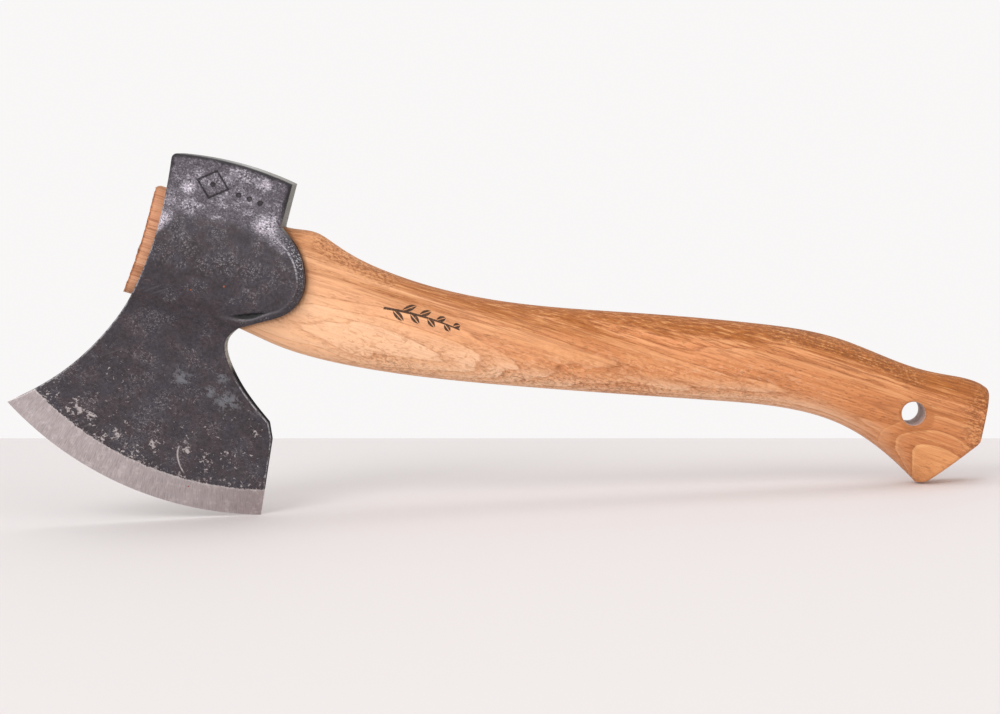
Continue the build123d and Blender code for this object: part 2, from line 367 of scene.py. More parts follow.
def head_side_grid():
    """(x, z) of the side's grid: POLL_STEPS rows from poll to bevel line, then BEVEL_STEPS more."""
    front, back, toe_angle, heel_angle = head_sides()
    u = clustered(HEAD_COLUMNS, 0.8)
    v = clustered(POLL_STEPS, 0.55)
    front_start = np.argmin(np.abs(reach_from_edge(*front.T) - bevel_width(front[:, 0])))
    back_start = np.argmin(np.abs(reach_from_edge(*back.T) - bevel_width(back[:, 0])))
    crown = POLL_CROWN_Z - (POLL_FRONT[1] + POLL_BACK[1]) / 2
    top_x = POLL_FRONT[0] + (POLL_BACK[0] - POLL_FRONT[0]) * u
    top_z = POLL_FRONT[1] + (POLL_BACK[1] - POLL_FRONT[1]) * u + crown * 4 * u * (1 - u)
    angles = toe_angle + (heel_angle - toe_angle) * u
    edge = arc_point(EDGE_RADIUS, angles)
    start_angle = asin((front[front_start, 0] - EDGE_CENTRE[0]) / (EDGE_RADIUS - BEVEL_WIDTH_TOE))
    end_angle = asin((back[back_start, 0] - EDGE_CENTRE[0]) / (EDGE_RADIUS - BEVEL_WIDTH_HEEL))
    line_angles = start_angle + (end_angle - start_angle) * u
    widths = bevel_width(arc_point(EDGE_RADIUS, line_angles)[:, 0])
    line = arc_point(EDGE_RADIUS - widths, line_angles)
    line[0], line[-1] = front[front_start], back[back_start]
    sides = []
    for path, top, foot in ((front, POLL_FRONT, line[0]), (back, POLL_BACK, line[-1])):
        side = by_height(path, np.linspace(top[1], foot[1], SIDE_SAMPLES))
        sides.append(resample(side, np.arange(SIDE_SAMPLES), v * (SIDE_SAMPLES - 1)))
    upper = side_patch(np.column_stack([top_x, top_z]), line, *sides, u, v)
    w = np.linspace(0, 1, BEVEL_STEPS + 1)[1:, None, None]
    lower = (1 - w) * line[None] + w * edge[None]
    corner = np.hypot(upper[..., 0] - POLL_FRONT[0], upper[..., 1] - POLL_FRONT[1])
    pull = CORNER_PULL * np.clip(1 - corner / CORNER_EASE, 0, 1) ** 2
    upper += pull[..., None] * np.array([0.8, -0.6])
    return np.concatenate([upper, lower])


def ear_shelf(x, z, rim_distance):
    """How far the ear's outer band falls below its cheek, and how near its ridge a point is."""
    angle = np.degrees(np.arctan2(z - EAR_MIDDLE[1], x - EAR_MIDDLE[0]))
    width = spline_table(EAR_RIDGE_ANGLES, np.clip(angle, -42, 80))
    near = smoothstep(-42, -32, angle) * (1 - smoothstep(74, 92, angle)) * (x > EAR_MIDDLE[0])
    outside = np.clip(1 - rim_distance / width, 0, 1)
    ridge = bump(rim_distance, 0.55, width) * near
    return outside * near, ridge


def crease_depth(x, z):
    """Depth of the dark crease under the cheek, and the light lip along its lower side."""
    path = even_path(CREASE, CREASE_SAMPLES)
    distance, along = distance_to_path(x, z, path)
    slope = (CREASE[-1][1] - CREASE[0][1]) / (CREASE[-1][0] - CREASE[0][0])
    foot = path[(along * (CREASE_SAMPLES - 1)).astype(int)]
    above = (z - foot[:, 1]) - slope * (x - foot[:, 0]) > 0
    strength = np.sin(pi * np.clip(along, 0, 1)) ** 0.7
    width = 0.25 + 2.3 * bump(along, 0.24, 0.55)
    below = np.clip(1 - distance / np.maximum(width, 0.3), 0, 1) * ~above
    wall = np.clip(1 - distance / 0.5, 0, 1) * above
    depth = strength * (0.35 + 1.05 * bump(along, 0.25, 0.55))
    lip = bump(distance, 0.5, width) * ~above * strength
    return depth * np.maximum(below**0.6, wall), lip


def stamp_mask(x, z):
    """A plain stamped lozenge with a dot in it, and three dots beside it."""
    out = np.abs(x - STAMP_CENTRE[0]) / STAMP_HALF[0] + np.abs(z - STAMP_CENTRE[1]) / STAMP_HALF[1]
    mask = bump(out, 0.11, STAMP_RING)
    for dot_x, dot_z in [STAMP_CENTRE, *STAMP_DOTS]:
        mask = np.maximum(mask, 1 - smoothstep(0.75, 1.35, np.hypot(x - dot_x, z - dot_z)))
    return mask


def near_places(x, z, places):
    """1 at the listed places (x, z, size), falling to 0 around them."""
    mask = np.zeros_like(x)
    for place_x, place_z, size in places:
        mask = np.maximum(mask, np.exp(-(((x - place_x) ** 2 + (z - place_z) ** 2) / size**2)))
    return mask


def head_masks(x, z, rim_distance):
    """Where the side of the head is rough poll, ridge, shelf, crease or lip."""
    arch_x, arch_z = np.array(POLL_ARCH).T
    arch = natural_spline(arch_x, arch_z, np.clip(x, arch_x[0], arch_x[-1]))
    shelf, ridge = ear_shelf(x, z, rim_distance)
    crease, lip = crease_depth(x, z)
    return {"over_arch": z - arch, "shelf": shelf, "ridge": ridge, "crease": crease, "lip": lip}


def side_half_thickness(x, z, rim_distance, side):
    """Half thickness of the forging over its side, with its forged relief."""
    drop = smoothstep(30.0, 80.0, -z) * (edge_height(x) - edge_height(EDGE_CENTRE[0]))
    half = spline_table(HALF_THICKNESS, np.clip(z - drop, -110, 45))
    masks = head_masks(x, z, rim_distance)
    seeds = np.column_stack([x, np.full_like(x, side * 40.0), z])
    above_bevel = reach_from_edge(x, z) - bevel_width(x)
    calm = smoothstep(0.0, 6.0, above_bevel)
    half += 0.22 * calm * fractal_noise(seeds, (19, 30, 15), 2, 3.1)
    half += 0.05 * calm * fractal_noise(seeds, (4.5, 30, 3.6), 3, 7.7)
    poll = smoothstep(-1.5, 1.5, masks["over_arch"])
    half += 0.10 * poll * fractal_noise(seeds, (2.4, 30, 2.0), 3, 1.9)
    half -= 0.30 * bump(masks["over_arch"], 1.5) * smoothstep(-26, -18, x)
    half -= 1.15 * masks["shelf"] - 0.22 * masks["ridge"]
    half -= masks["crease"] - 0.18 * masks["lip"]
    if side < 0:
        half -= 0.30 * stamp_mask(x, z)
    return half


def edge_height(x):
    return EDGE_CENTRE[1] - np.sqrt(EDGE_RADIUS**2 - (x - EDGE_CENTRE[0]) ** 2)


def rounded(half, rim_distance):
    """Half thickness with the rim's arris rounded off."""
    radius = np.minimum(RIM_ROUNDING, 0.38 * half)
    inside = np.clip(radius - rim_distance, 0, None)
    return half - (radius - np.sqrt(np.maximum(radius**2 - inside**2, 0)))


def head_surface():
    """Vertices and faces of the closed forging, before its eye is cut."""
    grid = head_side_grid()
    rows, columns = grid.shape[:2]
    x, z = grid[..., 0].ravel(), grid[..., 1].ravel()
    outline = np.vstack([grid[:, 0][::-1], grid[0], grid[:, -1]])
    outline = np.vstack([outline[:-1] + (outline[1:] - outline[:-1]) * k / 4 for k in range(4)])
    rim_distance, _ = distance_to_path(x, z, outline)
    blocks = []
    for side in (-1, 1):
        half = rounded(side_half_thickness(x, z, rim_distance, side), rim_distance)
        half = half.reshape(rows, columns)
        for step in range(1, BEVEL_STEPS + 1):
            t = step / BEVEL_STEPS
            half[POLL_STEPS - 1 + step] = (1 - t) * half[POLL_STEPS - 1] + t * EDGE_HALF
        blocks.append(np.column_stack([x, side * half.ravel(), z]))
    around = list(range(columns))
    around += [i * columns + columns - 1 for i in range(1, rows)]
    around += [(rows - 1) * columns + j for j in range(columns - 2, -1, -1)]
    around += [i * columns for i in range(rows - 2, 0, -1)]
    around = np.array(around)
    near, far = blocks[0][around], blocks[1][around]
    layers = [(1 - t) * near + t * far for t in np.arange(1, RIM_STEPS) / RIM_STEPS]
    vertices = np.vstack(blocks + layers)
    faces = grid_faces(rows, columns, 0, True)
    faces += grid_faces(rows, columns, rows * columns, False)
    rings = [around]
    for step in range(RIM_STEPS - 1):
        rings.append(2 * rows * columns + step * len(around) + np.arange(len(around)))
    rings.append(around + rows * columns)
    for low, high in zip(rings[:-1], rings[1:]):
        for k in range(len(around)):
            n = (k + 1) % len(around)
            faces.append([int(low[n]), int(high[n]), int(high[k]), int(low[k])])
    return vertices, faces, outline


def head_measures(outline):
    """Gives the function that measures what the steel's material reads at each point."""

    def measures(points):
        x, y, z = points.T
        rim_distance, _ = distance_to_path(x, z, outline)
        flat = side_half_thickness(x, z, rim_distance, -1)
        values = head_masks(x, z, rim_distance)
        values["above_bevel"] = reach_from_edge(x, z) - bevel_width(x)
        values["arc"] = EDGE_RADIUS * np.arctan2(x - EDGE_CENTRE[0], EDGE_CENTRE[1] - z)
        values["reach"] = reach_from_edge(x, z)
        values["rim_distance"] = rim_distance
        inward = smoothstep(0.9, 1.6, flat - np.abs(y))
        values["rim"] = inward * (1 - smoothstep(0.3, 0.9, rim_distance))
        for name, places in STEEL_PLACES.items():
            values[name] = near_places(x, z, places)
        return values

    return measures


# ---------------------------------------------------------------- handle

HANDLE_ROWS = 400
HANDLE_AROUND = 96
END_LAYERS = 14
SKEW_START_X = 270.0
KNOB_TOP_X = 336.4
KNOB_END_BOTTOM = (338.0, 27.4)
KNOB_TIP = (322.0, 3.6)
KNOB_TIP_X = 319.3
KNOB_ROUNDING = 1.8
KNOB_SAMPLES = 600
KNOB_EASING = 19
TANG_ROUNDING = 0.8
TANG_CORNER = 2.2
RING_CORNER = 4.5
LENS_CENTRE = (60.0, -20.6)
HOLE_RING_CENTRE = (308.4, 30.2)


def oval_table():
    """Height and breadth of the oval section's quarter, from its flank to its top."""
    q = np.linspace(1, 0, 1500)
    breadth = 3 * (1 - q) ** 2 * q * OVAL_FULLNESS + 3 * (1 - q) * q**2 + q**3
    height = (1 - q) ** 3 + 3 * (1 - q) ** 2 * q + 3 * (1 - q) * q**2 * OVAL_FULLNESS
    return height, breadth


def handle_half_breadth(x, z):
    """Half thickness of the handle at (x, z), zero on its top and bottom lines."""
    top, bottom = spline_table(HANDLE_TOP, x), spline_table(HANDLE_BOTTOM, x)
    level = np.abs(2 * (z - bottom) / (top - bottom) - 1)
    height, breadth = oval_table()
    return spline_table(HANDLE_HALF_THICKNESS, x) * np.interp(np.clip(level, 0, 1), height, breadth)


def tang_end_x(z):
    radius = (TANG_HOLLOW_HALF**2 + TANG_END_HOLLOW**2) / (2 * TANG_END_HOLLOW)
    return TANG_END_X + TANG_END_HOLLOW - (radius - np.sqrt(radius**2 - z**2))


def knob_end_path(fractions):
    """Points of the knob's sawn end at the given fractions from top to bottom, corners eased."""
    top = (KNOB_TOP_X, float(spline_table(HANDLE_TOP, [KNOB_TOP_X])[0]))
    bottom = (KNOB_TIP_X, float(spline_table(HANDLE_BOTTOM, [KNOB_TIP_X])[0]))
    corners = np.array([top, KNOB_END_BOTTOM, KNOB_TIP, bottom])
    length = lengths_along(corners)
    path = resample(corners, length, np.linspace(0, length[-1], KNOB_SAMPLES))
    kernel = np.ones(KNOB_EASING) / KNOB_EASING
    for axis in (0, 1, 0, 1):
        path[30:-30, axis] = np.convolve(path[:, axis], kernel, "same")[30:-30]
    return resample(path, np.arange(KNOB_SAMPLES), fractions * (KNOB_SAMPLES - 1))


def tang_corner_drop(from_end):
    """How far the tang's worn upper corner falls below the handle's top line."""
    inside = np.clip(TANG_CORNER - from_end, 0, TANG_CORNER)
    return TANG_CORNER - np.sqrt(TANG_CORNER**2 - inside**2)


def handle_side_grid():
    """(x, z) of the handle's grid: rows along it, columns from its top line to its bottom line."""
    t = (1 - np.cos(np.linspace(0, pi, HANDLE_AROUND // 2 + 1))) / 2
    span = KNOB_TOP_X - TANG_END_X
    ends = (1 - np.cos(np.linspace(0, pi / 2, 9))) * 2.2
    middle = np.linspace(2.8, span - 2.8, HANDLE_ROWS - 18)
    along = np.concatenate([ends, middle, span - ends[::-1]])
    top_x = TANG_END_X + along
    skew = (KNOB_TIP_X - SKEW_START_X) / (KNOB_TOP_X - SKEW_START_X)
    bottom_x = np.where(top_x < SKEW_START_X, top_x, SKEW_START_X + (top_x - SKEW_START_X) * skew)
    top = np.column_stack([top_x, spline_table(HANDLE_TOP, top_x) - tang_corner_drop(along)])
    bottom = np.column_stack([bottom_x, spline_table(HANDLE_BOTTOM, bottom_x)])
    grid = (1 - t)[None, :, None] * top[:, None] + t[None, :, None] * bottom[:, None]
    start_z = grid[0, :, 1]
    start_pull = np.clip(1 - along / 30, 0, 1) ** 2
    grid[:, :, 0] += start_pull[:, None] * (tang_end_x(start_z) - grid[0, :, 0])[None]
    end = knob_end_path(t)
    end_pull = np.clip(1 - (span - along) / 55, 0, 1) ** 1.6
    grid += end_pull[:, None, None] * (end - grid[-1])[None]
    return grid, along, span


def rounded_ends(grid, along, span):
    """Half breadths and heights of the handle's grid, drawn in to round both ends' arrises."""
    x, z = grid[..., 0], grid[..., 1]
    half = handle_half_breadth(x.ravel(), z.ravel()).reshape(x.shape)
    half[:, 0] = half[:, -1] = 0
    inset = 0
    for radius, from_end in ((TANG_ROUNDING, along), (KNOB_ROUNDING, span - along)):
        inside = radius - np.clip(from_end, 0, radius)
        inset = inset + (radius - np.sqrt(np.maximum(radius**2 - inside**2, 0)))
    top, bottom = grid[:, :1, 1], grid[:, -1:, 1]
    middle, tall = (top + bottom) / 2, (top - bottom) / 2
    broad = half.max(axis=1, keepdims=True)
    normal_y, normal_z = half / broad**2, (z - middle) / tall**2
    size = np.hypot(normal_y, normal_z)
    half = half - inset[:, None] * normal_y / size
    half[:, 0] = half[:, -1] = 0
    return half, z - inset[:, None] * normal_z / size


def end_ladder(near, far, first, start, flip):
    """Vertices and faces across one end, whose ring starts at first; new vertices at start."""
    columns = len(near)
    around = 2 * columns - 2
    ladder, inner = [[first]], []
    for j in range(1, columns - 1):
        new = start + len(inner)
        inner += [(1 - t) * near[j] + t * far[j] for t in np.arange(1, END_LAYERS) / END_LAYERS]
        ladder.append([first + j, *range(new, new + END_LAYERS - 1), first + around - j])
    ladder.append([first + columns - 1])
    faces = []
    for upper, lower in zip(ladder[:-1], ladder[1:]):
        for k in range(END_LAYERS):
            face = [upper[min(k, len(upper) - 1)], upper[min(k + 1, len(upper) - 1)]]
            face += [lower[min(k + 1, len(lower) - 1)], lower[min(k, len(lower) - 1)]]
            face = list(dict.fromkeys(face))
            faces.append(face if flip else face[::-1])
    return inner, faces


def handle_surface():
    """Vertices and faces of the closed handle, before its hole and slots are cut."""
    grid, along, span = handle_side_grid()
    rows = len(grid)
    half, z = rounded_ends(grid, along, span)
    near = np.stack([grid[..., 0], -half, z], axis=-1)
    far = np.stack([grid[..., 0], half, z], axis=-1)
    loop = np.concatenate([near, far[:, -2:0:-1]], axis=1)
    around = loop.shape[1]
    faces = []
    for start in range(0, (rows - 1) * around, around):
        for j in range(around):
            a, b = start + j, start + (j + 1) % around
            faces.append([a, b, b + around, a + around])
    vertices = loop.reshape(-1, 3)
    for row, flip in ((0, True), (rows - 1, False)):
        inner, end_faces = end_ladder(near[row], far[row], row * around, len(vertices), flip)
        vertices = np.vstack([vertices, inner])
        faces += end_faces
    sawn = 1 - smoothstep(0.0, 1.6, vertices[:, 0] - tang_end_x(vertices[:, 2]))
    vertices[:, 0] += 0.26 * sawn * fractal_noise(vertices, (40, 3.5, 1.7), 3, 5.3)
    ripple = 0.16 * fractal_noise(vertices, (46, 9, 9), 2, 2.2)
    calm = smoothstep(44, 60, vertices[:, 0])
    vertices[:, 1] += ripple * calm * np.clip(vertices[:, 1] / 8, -1, 1)
    return vertices, faces


def knob_rings(x, z):
    """Growth rings at the knob's tip: nested rounded corners, and how strongly they rule there."""
    apart = np.clip(0.75 * (z - 4.0), 1.5, 7.5)
    from_side = np.clip((311.9 - 0.41 * (z - 14.0) - x) / apart, -4, 8)
    from_top = np.minimum((z - 20.6 + 0.02 * (x - 322.0) ** 2) / 6.5, 8)
    rings = np.log(np.exp(RING_CORNER * from_side) + np.exp(RING_CORNER * from_top)) / RING_CORNER
    return np.maximum(rings, -0.6), smoothstep(284.0, 290.0, x)


def handle_measures(points):
    """What the hickory's material reads at each point of the handle."""
    x, z = points[:, 0], points[:, 2]
    top, bottom = spline_table(HANDLE_TOP, x), spline_table(HANDLE_BOTTOM, x)
    level = np.clip((z - bottom) / (top - bottom), 0, 1)
    hole = np.hypot(x - HOLE_CENTRE[0], z - HOLE_CENTRE[1])
    rings, near_tip = knob_rings(x, z)
    lens = np.hypot((x - LENS_CENTRE[0]) / 3.6, z - LENS_CENTRE[1])
    ring = np.hypot(x - HOLE_RING_CENTRE[0], z - HOLE_RING_CENTRE[1])
    ear_distance, _ = distance_to_path(x, z, even_path([EAR_TOP, *EAR_ROUND, EAR_BOTTOM], 120))
    rough_stretches = [
        window(x, 46, 76, 12) * smoothstep(0.76, 0.96, level),
        window(x, 245, 300, 16) * smoothstep(0.74, 0.9, level),
        smoothstep(320, 338, x) * smoothstep(0.3, 0.6, level),
        0.65 * window(x, 90, 236, 40) * (1 - smoothstep(0.10, 0.42, level)),
        0.5 * smoothstep(0.94, 1.0, level),
    ]
    return {
        "level": level,
        "end_cut": 1 - smoothstep(0.4, 1.2, x - tang_end_x(z)),
        "tang": 1 - smoothstep(-25.0, -14.0, x),
        # a pale painted reflection on the hole's wall
        "hole_wall": 1 - smoothstep(HOLE_RADIUS + 0.05, HOLE_RADIUS + 0.3, hole),
        # painted shade on the wood along the ear's edge
        "ear_shadow": 1 - smoothstep(0.2, 1.8, ear_distance),
        # painted shade in a ring round the hole's mouth
        "hole_mouth_shade": 1 - smoothstep(7.0, 7.8, ring),
        "rings": rings,
        "near_tip": near_tip,
        "figure": 1.5 * bump(lens, 2.6),
        "knob": smoothstep(250.0, 312.0, x),
        "belly": window(x, 80, 240, 45) * (1 - smoothstep(0.30, 0.72, level)),
        "shoulder": 1 - smoothstep(44.0, 96.0, x),
        "raw": np.max(rough_stretches, axis=0),
    }


# ---------------------------------------------------------------- wedges and cutters

WEDGE_TIP_X = 4.4
WEDGE_END_HALF = 2.3
WEDGE_TIP_HALF = 0.6
STAPLE_WIDTH = 20.0
STAPLE_THICKNESS = 3.0
STAPLE_CROWN_DEPTH = 4.0
STAPLE_LEG_WIDTH = 4.4
STAPLE_LEG_LENGTH = 18.0
STAPLE_TURN = radians(55.0)
STAPLE_PROUD = 0.6
STAPLE_CENTRE_Z = 0.8
FIT_GAP = 0.07
HOLE_STEPS = 72
HOLE_FLARE = 1.1
KNOB_HALF = 11.9
SAW_OVERRUN = 2.0


def box_shell(steps):
    """Vertices from 0 to 1 and outward quads of a box's surface, divided into steps."""
    index, vertices, faces = {}, [], []

    def corner(place):
        if place not in index:
            index[place] = len(vertices)
            vertices.append([place[k] / steps[k] for k in range(3)])
        return index[place]

    for axis in range(3):
        one, two = (axis + 1) % 3, (axis + 2) % 3
        for at in (0, steps[axis]):
            for i in range(steps[one]):
                for j in range(steps[two]):
                    quad = []
                    for di, dj in ((0, 0), (1, 0), (1, 1), (0, 1)):
                        place = [0, 0, 0]
                        place[axis], place[one], place[two] = at, i + di, j + dj
                        quad.append(corner(tuple(place)))
                    faces.append(quad if at else quad[::-1])
    return np.array(vertices), faces


def oval_tube(name, start, finish, count, grow):
    """A stretch of the handle's oval, grown a little all round, to cut the eye with."""
    angles = np.linspace(0, 2 * pi, HANDLE_AROUND, endpoint=False)
    height, breadth = oval_table()
    level = np.cos(angles)
    side = np.interp(np.abs(level), height, breadth) * np.sign(np.sin(angles))
    side[np.abs(level) > 0.99999] = 0
    rings = []
    for x in np.linspace(start, finish, count):
        at = max(x, HANDLE_TOP[0][0])
        top, bottom = spline_table(HANDLE_TOP, [at])[0], spline_table(HANDLE_BOTTOM, [at])[0]
        broad = spline_table(HANDLE_HALF_THICKNESS, [at])[0] + grow
        tall, middle = (top - bottom) / 2 + grow, (top + bottom) / 2
        rings.append(np.column_stack([np.full_like(level, x), broad * side, middle + tall * level]))
    return tube(name, rings)


def hole_cutter():
    """A drill along Y whose radius flares where it leaves the knob, to ease the hole's mouths."""
    inside = np.linspace(KNOB_HALF - HOLE_FLARE, KNOB_HALF, 8)
    rise = inside - KNOB_HALF + HOLE_FLARE
    radii = HOLE_RADIUS + HOLE_FLARE - np.sqrt(HOLE_FLARE**2 - rise**2)
    depth = np.concatenate([[0], inside, [KNOB_HALF + 2]])
    radii = np.concatenate([[HOLE_RADIUS], radii, [HOLE_RADIUS + HOLE_FLARE + 4]])
    depth = np.concatenate([-depth[:0:-1], depth])
    radii = np.concatenate([radii[:0:-1], radii])
    angles = np.linspace(0, 2 * pi, HOLE_STEPS, endpoint=False)
    rings = []
    for y, radius in zip(depth, radii):
        x = HOLE_CENTRE[0] + radius * np.cos(angles)
        z = HOLE_CENTRE[1] + radius * np.sin(angles)
        rings.append(np.column_stack([x, np.full_like(x, y), z]))
    return tube("hole_cutter", rings)


def wedge_half(x):
    taper = (WEDGE_TIP_HALF - WEDGE_END_HALF) / (WEDGE_TIP_X - TANG_END_X)
    return WEDGE_END_HALF + taper * (x - TANG_END_X)


def kerf_cutter():
    """The sawn kerf: a tapered slot right through the tang's height."""
    unit, faces = box_shell((2, 1, 1))
    start = HANDLE_TOP[0][0] - SAW_OVERRUN
    x = start + unit[:, 0] * (WEDGE_TIP_X + FIT_GAP - start)
    y = (2 * unit[:, 1] - 1) * (wedge_half(x) + FIT_GAP)
    return make_object("kerf_cutter", np.column_stack([x, y, (2 * unit[:, 2] - 1) * 34]), faces)


def kerf_wedge_surface():
    """The wooden wedge, trimmed flush with the tang, its split grain left on its end."""
    unit, faces = box_shell((48, 10, 110))
    tall = 2 * unit[:, 2] - 1
    x = tang_end_x(24 * tall) + unit[:, 0] * (WEDGE_TIP_X - tang_end_x(24 * tall))
    y = (2 * unit[:, 1] - 1) * wedge_half(x)
    height, breadth = oval_table()
    broad = spline_table(HANDLE_HALF_THICKNESS, x)
    level = np.interp(np.abs(y) / broad, breadth[::-1], height[::-1])
    top, bottom = spline_table(HANDLE_TOP, x), spline_table(HANDLE_BOTTOM, x)
    z = (top + bottom) / 2 + tall * level * ((top - bottom) / 2 - 0.12)
    z = np.minimum(z, top - 0.12 - tang_corner_drop(x - tang_end_x(top)))
    points = np.column_stack([x, y, z])
    rough = fractal_noise(points, (30, 0.8, 5), 3, 8.8)
    points[:, 0] += (0.16 * rough - 0.18) * smoothstep(0.02, 0.0, unit[:, 0])
    return points, faces


def staple_outline(grow):
    """The staple wedge seen flat: its crown and three pointed legs, as (depth, across)."""
    half, leg = STAPLE_WIDTH / 2 + grow, STAPLE_LEG_WIDTH / 2
    deep = STAPLE_CROWN_DEPTH + grow
    points = [(deep, half), (-grow, half), (-grow, -half), (deep, -half)]
    for middle in (-STAPLE_WIDTH / 2 + leg, 0.0, STAPLE_WIDTH / 2 - leg):
        foot, finish = middle - leg - grow, middle + leg + grow
        tip = deep + STAPLE_LEG_LENGTH + grow
        points += [(deep, foot)] if middle > -4 else []
        points += [(tip, middle - 0.2), (tip, middle + 0.2)]
        points += [(deep, finish)] if middle < 4 else []
    return points


def staple(name, grow):
    """The staple wedge, or the slot it is driven into when it is grown."""
    crown_x = TANG_END_X + TANG_END_HOLLOW - STAPLE_PROUD
    deep, across = np.array(staple_outline(grow)).T
    rings = []
    for off in (-STAPLE_THICKNESS / 2 - grow, STAPLE_THICKNESS / 2 + grow):
        y = across * sin(STAPLE_TURN) + off * cos(STAPLE_TURN)
        z = across * cos(STAPLE_TURN) - off * sin(STAPLE_TURN)
        rings.append(np.column_stack([crown_x + deep, y, STAPLE_CENTRE_Z + z]))
    return tube(name, rings)


def staple_piece():
    """The staple wedge with eased arrises and a hammered crown."""
    thing = staple("staple_crown", 0.0)
    bevel = thing.modifiers.new("arris", "BEVEL")
    bevel.width, bevel.segments, bevel.angle_limit = 0.3 * MM, 3, radians(25)
    remesh = thing.modifiers.new("even", "REMESH")
    remesh.mode, remesh.voxel_size = "VOXEL", 0.24 * MM
    smooth = thing.modifiers.new("soft", "SMOOTH")
    smooth.iterations = 2
    graph = bpy.context.evaluated_depsgraph_get()
    made = bpy.data.meshes.new_from_object(thing.evaluated_get(graph))
    thing.modifiers.clear()
    thing.data = made
    points = mesh_points(made)
    crown = smoothstep(1.2, 0.2, points[:, 0] - points[:, 0].min())
    points[:, 0] += 0.12 * crown * fractal_noise(points, (9, 1.6, 1.6), 3, 6.1)
    made.vertices.foreach_set("co", to_row(points).ravel())
    return thing


# ---------------------------------------------------------------- material nodes


class Value:
    """A socket of a material's nodes; arithmetic on it adds nodes. The operator | takes the larger."""

    def __init__(self, graph, socket):
        self.graph = graph
        self.socket = socket

    def __add__(self, other):
        return self.graph.math("ADD", self, other)

    def __sub__(self, other):
        return self.graph.math("SUBTRACT", self, other)

    def __rsub__(self, other):
        return self.graph.math("SUBTRACT", other, self)

    def __mul__(self, other):
        return self.graph.math("MULTIPLY", self, other)

    def __or__(self, other):
        return self.graph.math("MAXIMUM", self, other)

    def __pow__(self, power):
        return self.graph.math("POWER", self, power)

    def __abs__(self):
        return self.graph.math("ABSOLUTE", self)

    def fraction(self):
        return self.graph.math("FRACT", self)

    def rise(self, low, high, start=0.0, finish=1.0):
        """Smooth step from start to finish while the value goes from low to high."""
        inputs = {0: self, 1: low, 2: high, 3: start, 4: finish}
        return self.graph.value("ShaderNodeMapRange", inputs, interpolation_type="SMOOTHSTEP")

    def coat(self, amount, colour):
        """This colour under the given amount of another."""
        return self.graph.blend(amount, self, colour)


class Graph:
    """One material's nodes, with the place in the drawing frame and the colour painted so far."""

    def __init__(self, name):
        self.material = bpy.data.materials.new(name)
        self.material.use_nodes = True
        self.tree = self.material.node_tree
        self.shader = self.tree.nodes["Principled BSDF"]
        self.place = self.value("ShaderNodeAttribute", {}, "Vector", attribute_name="place_mm")
        axes = self.node("ShaderNodeSeparateXYZ", {0: self.place}).outputs
        self.x, self.y, self.z = (Value(self, axis) for axis in axes)
        self.colour = None

    def feed(self, socket, source):
        if isinstance(source, Value):
            self.tree.links.new(source.socket, socket)
        else:
            socket.default_value = source

    def node(self, kind, inputs, **settings):
        made = self.tree.nodes.new(kind)
        for key, setting in settings.items():
            setattr(made, key, setting)
        for key, source in inputs.items():
            self.feed(made.inputs[key], source)
        return made

    def value(self, kind, inputs, output=0, **settings):
        return Value(self, self.node(kind, inputs, **settings).outputs[output])

    def math(self, operation, *inputs):
        return self.value("ShaderNodeMath", dict(enumerate(inputs)), operation=operation)

    def measure(self, name):
        """A value that the piece's mesh holds at each point."""
        return self.value("ShaderNodeAttribute", {}, "Fac", attribute_name=name)

    def join(self, x, y, z):
        return self.value("ShaderNodeCombineXYZ", {0: x, 1: y, 2: z})

    def noise(self, size, detail, roughness, distortion=0.0, place=None):
        """Noise whose features are about size mm along each axis."""
        shrink = {0: place or self.place, 1: tuple(1.0 / s for s in size)}
        scaled = self.value("ShaderNodeVectorMath", shrink, operation="MULTIPLY")
        inputs = {"Vector": scaled, "Scale": 1.0, "Detail": detail}
        inputs |= {"Roughness": roughness, "Distortion": distortion}
        return self.value("ShaderNodeTexNoise", inputs)

    def blend(self, amount, low, high):
        """Colour between two colours."""
        inputs = {0: amount}
        for key, colour in ((6, low), (7, high)):
            inputs[key] = (*colour, 1.0) if isinstance(colour, tuple) else colour
        return self.value("ShaderNodeMix", inputs, 2, data_type="RGBA", clamp_factor=True)

    def coat(self, amount, colour):
        self.colour = self.colour.coat(amount, colour)

    def near(self, x, z, outer, inner):
        """0 beyond an outer radius from (x, z) and 1 within an inner one, both given squared."""
        return ((self.x - x) ** 2 + (self.z - z) ** 2).rise(outer, inner)

    def finish(self, roughness, metallic, height, depth_mm):
        self.feed(self.shader.inputs["Base Color"], self.colour)
        self.feed(self.shader.inputs["Roughness"], roughness)
        self.feed(self.shader.inputs["Metallic"], metallic)
        inputs = {"Strength": 1.0, "Distance": depth_mm * MM, "Height": height}
        self.feed(self.shader.inputs["Normal"], self.value("ShaderNodeBump", inputs))
        return self.material


# ---------------------------------------------------------------- forged steel


class SteelGraph(Graph):
    """The forged steel's nodes, with the noises and masks that its layers share."""

    def __init__(self):
        super().__init__("forged_steel")
        self.broad = self.noise((11, 11, 9), 4, 0.6)
        self.fine = self.noise((1.5, 1.5, 1.3), 5, 0.72)
        self.speck = self.noise((0.75, 0.75, 0.6), 3, 0.65)
        self.ragged = self.noise((1.9, 1.9, 1.9), 5, 0.75)
        self.above_bevel = self.measure("above_bevel")
        self.rim = self.measure("rim")
        self.at_poll = self.z.rise(18.0, 24.0)


